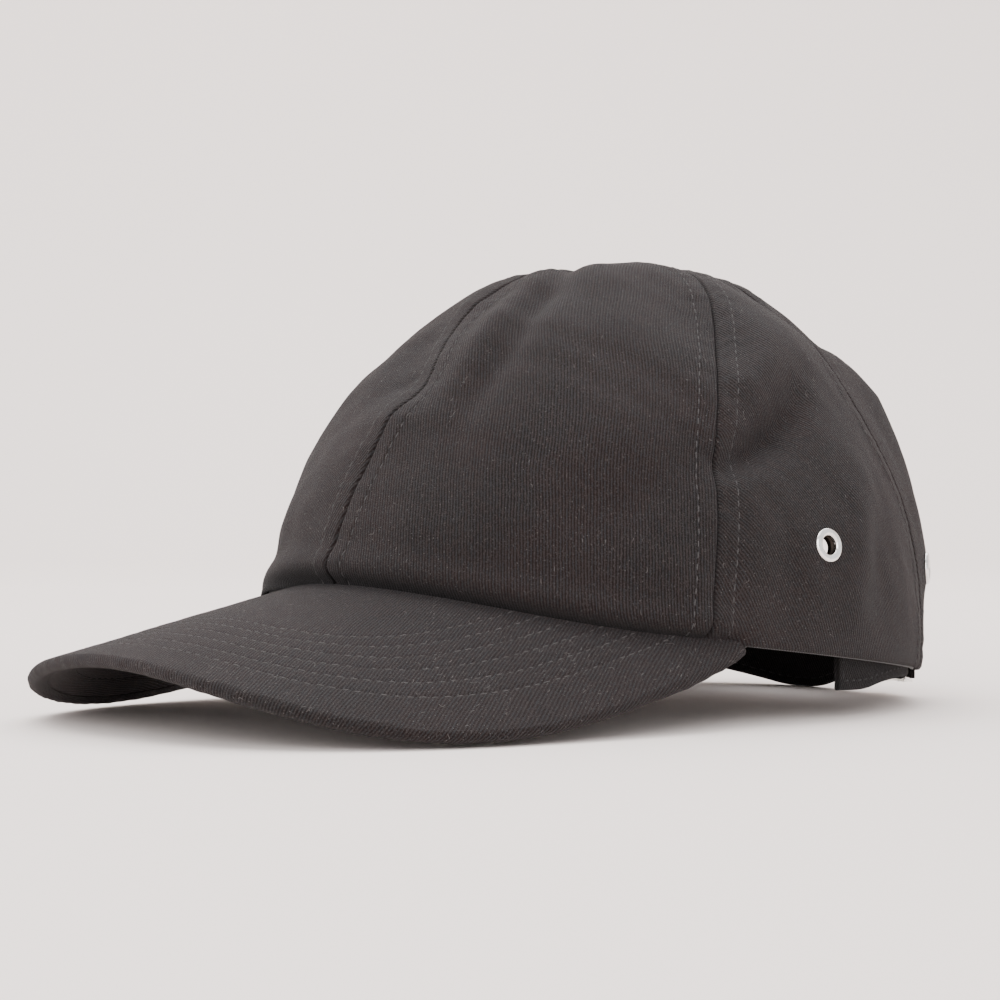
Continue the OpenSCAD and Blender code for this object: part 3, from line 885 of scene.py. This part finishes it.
def tape(node, seam, t0, side):
    """The tape that covers a seam inside; gives back its two stitch rows."""
    ts = np.linspace(t0, TAPE_TOP, 70)
    a0 = seam_angle(seam, ts)
    e = 0.5
    w = np.linalg.norm(dome(a0 + e, ts) - dome(a0 - e, ts), axis=-1) / (2 * e)
    cols = np.linspace(-TAPE_HALF, TAPE_HALF, 13)
    P = (a0[None, :] + cols[:, None] / w[None, :]) * side
    T = np.repeat(ts[None, :], len(cols), 0)
    crown = 0.12 * (1 - (cols / TAPE_HALF) ** 2)[:, None]
    outer = surf(P, T, 1.45)
    inner = surf(P, T, 1.8 + crown)
    add_shell(node + "_cloth", outer, inner, grid_uv(outer), TAPE, nodes=[node], slot="tape")
    n = -grid_normals(inner) * side
    return [(inner[2], n[2]), (inner[-3], n[-3])]


rows = []
for node, seam, t0, side in (
    ("seam_tape_front", 0, 1, 1),
    ("seam_tape_left_front", 1, 1, 1),
    ("seam_tape_right_front", 1, 1, -1),
    ("seam_tape_left_rear", 2, 1, 1),
    ("seam_tape_right_rear", 2, 1, -1),
    ("seam_tape_rear", 3, ARCH_T + 5, 1),
):
    rows += tape(node, seam, t0, side)
stitches("seam_tape_stitch", rows, THREAD_DARK, length=2.6, gap=0.8, radius=0.18)

# the tape along the arched opening
w = np.linspace(40, 140, 90)
k = np.linspace(0, 1, 7)
P = 180 - (ARCH_A + 6 * k[None, :]) * np.cos(np.radians(w))[:, None]
T = (ARCH_T + 3.6 * k[None, :]) * np.sin(np.radians(w))[:, None]
outer = surf(P, T, 1.25)
inner = surf(P, T, 1.62 + 0.1 * np.sin(math.pi * k)[None, :] * np.ones_like(P))
add_shell("opening_binding_cloth", outer, inner, grid_uv(outer), TAPE, nodes=["opening_binding"], slot="tape")

# blank label
a = np.linspace(172, 188, 24)
tt = np.linspace(ARCH_T + 7, ARCH_T + 17, 18)
base = surf(np.full((24, 18), 180.0), np.repeat(tt[None, :], 24, 0), 1.95)
wave = 0.35 * np.sin(np.linspace(0, 5, 24))[:, None] * np.linspace(1, 0.2, 18)[None, ::-1]
base[..., 0] += HALF_W * np.sin(np.radians(a))[:, None] * 0.9
base[..., 1] -= 0.2 + wave
under = base.copy()
under[..., 1] -= 0.3
add_shell("size_label_cloth", base, under, grid_uv(base), LABEL, nodes=["size_label"], slot="label_cloth")

# ---------------------------------------------------------------- visor
NC, NR = 300, 104
END = VISOR_END - 0.4
phi_v = np.linspace(-END, END, NC)
E = edge_xy(phi_v)
R = rim_xy(phi_v) - 5.0 * rim_n(phi_v)
dE = np.gradient(E, axis=0)
o2 = np.stack([dE[:, 1], -dE[:, 0]], -1)
o2 /= np.linalg.norm(o2, axis=-1, keepdims=True)
L = np.linalg.norm(E - R, axis=-1)
HALF_T = (LAYER_GAP + COVER_T + LOW) / 2
MIDOFF = LAYER_GAP + COVER_T - HALF_T
er = np.minimum(HALF_T, 0.4 * L)
n_e = visor_n(E[:, 0], E[:, 1])
o3 = np.concatenate([o2, np.zeros((NC, 1))], -1)
o3 = o3 - np.sum(o3 * n_e, -1, keepdims=True) * n_e
o3 /= np.linalg.norm(o3, axis=-1, keepdims=True)


def flat(q):
    """Plan points with a zero height."""
    return np.concatenate([q, np.zeros(q.shape[:-1] + (1,))], -1)


def board(q, off):
    """Plan points lifted onto the bent visor, then moved off it along its normal."""
    x = np.clip(q[..., 0], -VISOR_BEND + 1, VISOR_BEND - 1)
    p = np.stack([q[..., 0], q[..., 1], FRONT_Z + rise(x, q[..., 1])], -1)
    return p + np.asarray(off)[..., None] * visor_n(x, q[..., 1])


inner_edge = E - o2 * er[:, None]
f = np.linspace(0, 1, NR) ** 0.92
q = R[:, None, :] * (1 - f)[None, :, None] + inner_edge[:, None, :] * f[None, :, None]
edge_line = flat(edge_xy(np.linspace(-END, END, 240)))
d_edge, along_edge = line_dist(flat(q), edge_line)
ROWS = [11.8, 16.8, 21.8, 26.8, 31.8, 36.6]  # stitch rows, from the visor's edge
ROW_STEP = 4.95
top_rel = np.zeros(q.shape[:-1])
for r_ in ROWS:
    top_rel -= 0.2 * np.exp(-(((d_edge - r_) / 0.42) ** 2))
quilt = smooth((d_edge - 9) / 3) * smooth((38 - d_edge) / 3)
between = np.exp(-((np.mod(d_edge - 11, ROW_STEP) - 2.5) / 2.2) ** 2)
top_rel += 0.04 * quilt * np.sin(along_edge * 420 + 3 * np.sin(d_edge)) * between
top_rel += 0.10 * waves(flat(q), 21, 40) + 0.05 * waves(flat(q), 22, 12)
top_rel = top_rel * smooth((np.linalg.norm(q - R[:, None, :], axis=-1) - 2.4) / 5)
top = board(q, LAYER_GAP + COVER_T + top_rel)
mid = board(inner_edge, np.full(NC, MIDOFF))
n_m = visor_n(inner_edge[:, 0], inner_edge[:, 1])
arcs = []
for al in np.linspace(15, 180, 12):
    c, s_ = math.cos(math.radians(al)), math.sin(math.radians(al))
    arcs.append(mid + HALF_T * c * n_m + (er * s_)[:, None] * o3)
wrapped = []
for wv in (0.6, 1.2, 1.8, 2.4, 2.9, 3.1):
    sink = 0.35 if wv > 3 else 0.0
    wrapped.append(mid - (HALF_T - sink) * n_m - (np.minimum(wv, 0.5 * L)[:, None] * o3))
edge_wobble = 0.10 * np.sin(along_edge[:, -1] * 420) + 0.08 * np.sin(along_edge[:, -1] * 173 + 1)
strip = np.stack(arcs + wrapped, 1)
strip[:, 2:10] += (edge_wobble[:, None, None]) * o3[:, None, :] * np.minimum(1, L / 8)[:, None, None]
outer = np.concatenate([top, strip], 1)
n_o = grid_normals(outer)
n_o = n_o * np.sign(np.sum(n_o[NC // 2, 5] * np.array([0, 0, 1])))
inner = outer - n_o * 0.65
uv = np.concatenate([q, np.zeros((NC, strip.shape[1], 2))], 1)
walk = np.cumsum(np.linalg.norm(np.diff(np.concatenate([top[:, -1:], strip], 1), axis=1), axis=-1), 1)
uv[:, NR:] = inner_edge[:, None, :] + o2[:, None, :] * walk[..., None]
add_shell("visor_top_cloth", outer, inner, uv, TWILL_VISOR, nodes=["visor_top_cover"], slot="twill")


def rows_round_edge(plan, from_edge, cloth, normals):
    """The visor's stitch rows over one of its covers, each left out where the visor is too short."""
    out = []
    for r_ in ROWS:
        pts, nrm = [], []
        for i in range(NC):
            col = from_edge[i][::-1]
            if col.max() < r_ + 0.3 or np.linalg.norm(plan[i, -1] - R[i]) < r_ + 3.5:
                continue
            pts.append([np.interp(r_, col, cloth[i, :, c][::-1]) for c in range(3)])
            nrm.append([np.interp(r_, col, normals[i, :, c][::-1]) for c in range(3)])
        out.append((np.array(pts), np.array(nrm)))
    return out


rows = rows_round_edge(q, d_edge, outer[:, :NR], n_o[:, :NR])
stitches("visor_topstitch", rows, THREAD_VISOR, length=2.3, gap=0.8, radius=0.14, lift=-0.02)

# under cover, sewn under the wrapped edge
NR2 = 60
inner2 = E - o2 * np.minimum(er + 2.6, 0.47 * L)[:, None]
f2 = np.linspace(0, 1, NR2)
q2 = R[:, None, :] * (1 - f2)[None, :, None] + inner2[:, None, :] * f2[None, :, None]
d2, _ = line_dist(flat(q2), edge_line)
low_rel = np.zeros(q2.shape[:-1])
for r_ in ROWS:
    low_rel += 0.22 * np.exp(-(((d2 - r_) / 0.7) ** 2))
low_rel += 0.12 * waves(flat(q2), 25, 25)
low_rel *= smooth((np.linalg.norm(q2 - R[:, None, :], axis=-1) - 2.4) / 4)
bottom = board(q2, -(BOARD_T + LAYER_GAP + COVER_T - 0.05) + low_rel)
upper = board(q2, np.full(q2.shape[:-1], -(BOARD_T + LAYER_GAP)))
add_shell("visor_under_cloth", bottom, upper, q2, TWILL_UNDER_PAINTED_LIGHT, nodes=["visor_under_cover"], slot="twill")
n_u = grid_normals(bottom)
n_u = n_u * np.sign(np.sum(n_u[NC // 2, 5] * np.array([0, 0, -1])))
rows = rows_round_edge(q2, d2, bottom, n_u)
stitches("visor_under_stitch", rows, THREAD_DARK, length=2.7, gap=0.6, radius=0.16, lift=0.03)


# ---------------------------------------------------------------- button and eyelets
def lathe(name, profile, origin, normal, mat, nodes, slot, segments=72):
    """Turns a closed (r, z) outline about the normal."""
    z = np.asarray(normal, float)
    x = np.cross([0.0, 0.0, 1.0] if abs(z[2]) < 0.9 else [0.0, 1.0, 0.0], z)
    x /= np.linalg.norm(x)
    y = np.cross(z, x)
    prof = np.asarray(profile, float)
    n = len(prof)
    verts, faces, uv = [], [], []
    for i in range(segments):
        a = 2 * math.pi * i / segments
        d = math.cos(a) * x + math.sin(a) * y
        for r, h in prof:
            verts.append(origin + d * r + z * h)
            uv.append((r * math.cos(a), r * math.sin(a)))
    for i in range(segments):
        i2 = (i + 1) % segments
        for j in range(n):
            j2 = (j + 1) % n
            faces.append((i * n + j, i2 * n + j, i2 * n + j2, i * n + j2))
    o = add(name, np.array(verts), faces, mat, uv=np.array(uv), nodes=nodes, slot=slot)
    bm = bmesh.new()
    bm.from_mesh(o.data)
    bmesh.ops.remove_doubles(bm, verts=bm.verts, dist=1e-6)
    bmesh.ops.dissolve_degenerate(bm, edges=bm.edges, dist=1e-7)
    bmesh.ops.recalc_face_normals(bm, faces=bm.faces)
    bm.to_mesh(o.data)
    bm.free()
    return o


def ring_profile(inner, outer_r, height, base_z, n=20):
    """A domed ring: flat under, rounded over."""
    mid, wide = (inner + outer_r) / 2, (outer_r - inner) / 2
    return [(mid + wide * math.cos(a), base_z + height * math.sin(a) ** 0.8) for a in np.linspace(0.0, math.pi, n)]


for key, (p0, n0) in eyelet_frames.items():
    ring = ring_profile(2.45, 4.55, 0.95, -0.05)
    ring = ring + [(2.45, -0.35), (2.8, -0.4), (4.4, -0.3)]
    lathe("eyelet_ring_" + key, ring, p0, n0, NICKEL, ["eyelet_" + key], "nickel", segments=96)
    # the barrel goes through the cloth and its lower end is rolled over the washer
    prof = [(2.43, -0.3), (2.4, -2.65), (2.55, -2.92), (2.9, -3.0), (3.25, -2.85)]
    prof += [(3.35, -2.55), (3.2, -2.3), (2.86, -2.25), (2.82, -0.42), (2.5, -0.38)]
    lathe("eyelet_barrel_" + key, prof, p0, n0, BARREL_SHADE_AND_TARNISH, [], "nickel")
    wash = [(2.97, -2.0), (4.6, -2.0), (4.75, -1.9), (4.75, -1.62), (4.6, -1.52), (2.97, -1.52)]
    lathe("eyelet_back_" + key, wash, p0, n0, NICKEL_DULL, ["eyelet_washer_" + key], "nickel")

apex = np.array([0.0, APEX_Y, TOP_Z - HOLLOW])
cover = [(0.0, 0.62), (5.9, 0.62), (6.6, 0.75), (7.0, 1.3), (6.95, 1.9), (6.6, 2.6)]
cover += [(5.9, 3.15), (4.8, 3.6), (3.2, 3.9), (1.6, 4.0), (0.0, 4.0)]
fine_cover = []
for (r0, z0), (r1, z1) in zip(cover[:-1], cover[1:]):
    for k_ in range(3):
        fine_cover.append((r0 + (r1 - r0) * k_ / 3, z0 + (z1 - z0) * k_ / 3))
fine_cover.append(cover[-1])
button = lathe("button_cloth", fine_cover, apex, (0, 0, 1), TWILL_REAR, ["button_cover"], "twill")
for v in button.data.vertices:
    r = math.hypot(v.co.x, v.co.y - (APEX_Y - MID_Y) * MM) / MM
    ang = math.atan2(v.co.y - (APEX_Y - MID_Y) * MM, v.co.x)
    if r > 3.5 and v.co.z > (TOP_Z - HOLLOW + 0.8) * MM:
        v.co.z += 0.00012 * math.sin(ang * 16) * (r - 3.5) / 3.5


# ---------------------------------------------------------------- strap
# height of the strap's lower edge at angles from the front
LOW_A = [92, 97, 105, 113, 122, 134, 146, 168, 181, 190, 204, 214, 222, 226]
LOW_Z = [7.6, 7.6, 7, 8.6, 8.8, 8, 5.5, 5.5, 0, 0, 4, 7, 8, 8.2]
STRAP_ROW = STRAP_W / 2 - 2.6  # from the strap's middle to its stitch rows


def strap_low(phi):
    """The strap's lower edge, with the corners of its route rounded."""
    out = 0.0
    for d in (-2.5, -1.25, 0.0, 1.25, 2.5):
        out = out + np.interp(phi + d, LOW_A, LOW_Z) / 5
    return np.maximum(out, 0.02)


def strap_depth(phi):
    k_ = np.clip((phi - 168) / 36, 0, 1)
    return TAIL_IN + (ROOT_IN - TAIL_IN) * smooth(k_)


def strap_section(width, half_t, r=0.7):
    """One cross-section of the strap: two flat faces joined by rounded edges of radius r."""
    sec = []
    flat_to = width / 2 - r
    for sign, first in ((1, 75), (-1, -105)):
        sec += [(a, sign * half_t) for a in np.linspace(-sign * flat_to, sign * flat_to, 22)]
        for a in np.radians(np.linspace(first, first - 150, 6)):
            sec.append((sign * flat_to + r * math.cos(a), half_t * math.sin(a)))
    return np.array(sec)


PH = np.linspace(97.0, 222.0, 200)
sec = strap_section(STRAP_W, STRAP_T / 2)
n2 = rim_n(PH)
mid2 = rim_xy(PH) - (strap_depth(PH) + STRAP_T / 2)[:, None] * n2
zmid = strap_low(PH) + STRAP_W / 2
nu = len(sec)
verts = np.zeros((len(PH), nu, 3))
arc_s = np.concatenate([[0], np.cumsum(np.linalg.norm(np.diff(mid2, axis=0), axis=1))])
ruffle = 0.22 * np.sin(arc_s / 9.0) * smooth((148 - PH) / 8)
for k_, (hh, xx) in enumerate(sec):
    edge = 0.12 * math.exp(-(((abs(hh) - STRAP_ROW) / 0.5) ** 2))
    off = (abs(xx) - edge) * np.sign(xx) if abs(xx) > 0.5 else xx
    verts[:, k_, :2] = mid2 + n2 * (off + ruffle * (hh / 10))[:, None]
    verts[:, k_, 2] = zmid + hh
faces = []
for i in range(len(PH) - 1):
    for k_ in range(nu):
        k2 = (k_ + 1) % nu
        faces.append((i * nu + k_, (i + 1) * nu + k_, (i + 1) * nu + k2, i * nu + k2))
faces.append(tuple(range(nu)))
faces.append(tuple((len(PH) - 1) * nu + k_ for k_ in range(nu))[::-1])
uv = np.zeros((len(PH), nu, 2))
uv[..., 0] = arc_s[:, None]
uv[..., 1] = np.array([hh + (0 if xx > 0 else 3) for hh, xx in sec])[None, :]
strap = add(
    "strap_cloth",
    verts.reshape(-1, 3),
    faces,
    TWILL_STRAP_SHADED,
    uv=uv.reshape(-1, 2),
    body=None,
    nodes=["strap", "strap_tail"],
    slot="twill",
)

hinge = [j for j in frame["joints"] if j["name"] == "strap_tail_swing"][0]
root = np.array(hinge["pos_m"])
pa = place(np.append(mid2[np.argmin(abs(PH - 152.5))], 0))
pb = place(np.append(mid2[np.argmin(abs(PH - 144.5))], 0))
pa[2] = pb[2] = root[2]
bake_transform(strap)
rows = []
for inside_ in (1, -1):
    for hh in (-STRAP_ROW, STRAP_ROW):
        x = STRAP_T / 2 * inside_
        pts = np.concatenate([mid2 + n2 * (x + ruffle * hh / 10)[:, None], (zmid + hh)[:, None]], 1)
        nrm = np.concatenate([n2 * inside_, np.zeros((len(PH), 1))], 1)
        rows.append((pts[2:-2], nrm[2:-2]))
    hs = np.linspace(-STRAP_ROW, STRAP_ROW, 12)
    i0 = 2
    pts = np.stack([np.append(mid2[i0] + n2[i0] * STRAP_T / 2 * inside_, zmid[i0] + v) for v in hs])
    rows.append((pts, np.repeat(np.append(n2[i0] * inside_, 0)[None], 12, 0)))
# the strap's stitches take the darkest thread, painted shade like the strap's twill
strap_thread = stitches("strap_stitch", rows, THREAD_DARK, length=2.6, gap=0.6, radius=0.17, lift=0.0, body=None)
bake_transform(strap_thread)

# ---------------------------------------------------------------- CAD pieces that keep their shape
for node, mat in (
    ("clasp_frame", NICKEL),
    ("clasp_pin", NICKEL_DULL),
    ("clasp_lever", NICKEL),
    ("button_rivet", NICKEL_DULL),
    ("visor_board", BOARD),
    ("strap_anchor", TWILL_STRAP_SHADED),
):
    o = frame["nodes"][node]
    o.data.materials.clear()
    o.data.materials.append(mat)

# ---------------------------------------------------------------- floor, light and camera
# the photo's camera: angles in degrees, distance in metres, focal length in pixels of a 1000-pixel frame
CAMERA_AZ, CAMERA_EL, CAMERA_FAR, FOCAL_PX = 49.2, 0.55, 0.810, 2895.0
AIM_RIGHT, AIM_UP = -0.0274, 0.0569
SENSOR_MM = 36.0

me = bpy.data.meshes.new("floor")
pts, fcs = [], []
prof = [(-2.6, 0.0), (0.6, 0.0), (1.2, 0.0)]
for k_ in range(1, 15):
    a = math.radians(90 * k_ / 14)
    prof.append((1.2 + 0.5 * math.sin(a), 0.5 * (1 - math.cos(a))))
prof.append((1.7, 3.5))
az = math.radians(CAMERA_AZ)
fwd = np.array([-math.sin(az), math.cos(az), 0.0])
rgt = np.array([math.cos(az), math.sin(az), 0.0])
for dpt, hgt in prof:
    for sx in (-4.0, 4.0):
        pts.append(tuple(fwd * dpt + rgt * sx + np.array([0, 0, hgt])))
for k_ in range(len(prof) - 1):
    fcs.append((2 * k_, 2 * k_ + 1, 2 * k_ + 3, 2 * k_ + 2))
me.from_pydata(pts, [], fcs)
me.polygons.foreach_set("use_smooth", [True] * len(me.polygons))
floor = new_object("floor", me)
fm, fnt, fb = material("floor_paint")
g = Graph(fnt)
n = g.noise(g.object_mm(), 0.004, 2.0)
g.put(fb.inputs["Base Color"], g.mix(n, (0.90, 0.825, 0.79, 1), (0.93, 0.855, 0.82, 1)))
fb.inputs["Roughness"].default_value = 0.9
fb.inputs["Specular IOR Level"].default_value = 0.1
me.materials.append(fm)

world = bpy.data.worlds.new("studio")
bpy.context.scene.world = world
world.use_nodes = True
bg = world.node_tree.nodes["Background"]
bg.inputs[0].default_value = (1.0, 0.985, 0.99, 1)
bg.inputs[1].default_value = 1.45


def area(name, where, aim, size, power, colour):
    li = bpy.data.lights.new(name, "AREA")
    li.shape = "RECTANGLE"
    li.size, li.size_y = size
    li.energy = power
    li.color = colour
    o = new_object(name, li)
    o.location = where
    o.rotation_euler = (Vector(aim) - Vector(where)).to_track_quat("-Z", "Y").to_euler()


def from_camera(right, forward, up):
    """A place given from the cap's middle as the camera sees it, in metres."""
    return tuple(rgt * right + fwd * forward + np.array([0, 0, up]))


# name, place, aim, size, watts, colour
area("key_light", from_camera(-0.5, 0.1, 1.9), (0, 0, 0), (1.6, 1.6), 36, (1.0, 0.985, 0.965))
area("back_light", from_camera(0.3, 1.0, 1.3), (0, 0, 0.05), (1.4, 0.8), 13, (0.96, 0.98, 1.0))
area("front_light", from_camera(-0.5, -1.9, 1.0), (0, 0, 0.03), (1.8, 1.2), 34, (1.0, 0.98, 0.97))
area("low_light", from_camera(-0.2, -2.1, 0.2), (0, 0, 0.02), (2.2, 0.3), 8, (1.0, 0.985, 0.98))

el = math.radians(CAMERA_EL)
target = rgt * AIM_RIGHT + np.array([0, -MID_Y * MM, AIM_UP])
back = np.array([math.sin(az) * math.cos(el), -math.cos(az) * math.cos(el), math.sin(el)])
cam_data = bpy.data.cameras.new("camera")
cam_data.sensor_width = SENSOR_MM
cam_data.lens = FOCAL_PX / 1000.0 * SENSOR_MM
cam_data.clip_start = 0.02
cam = new_object("camera", cam_data)
right_v = Vector(rgt)
back_v = Vector(back)
up_v = back_v.cross(right_v)
m = Matrix((right_v, up_v, back_v)).transposed().to_4x4()
m.translation = Vector(target + back * CAMERA_FAR)
cam.matrix_world = m
bpy.context.scene.camera = cam

bpy.context.view_layer.update()
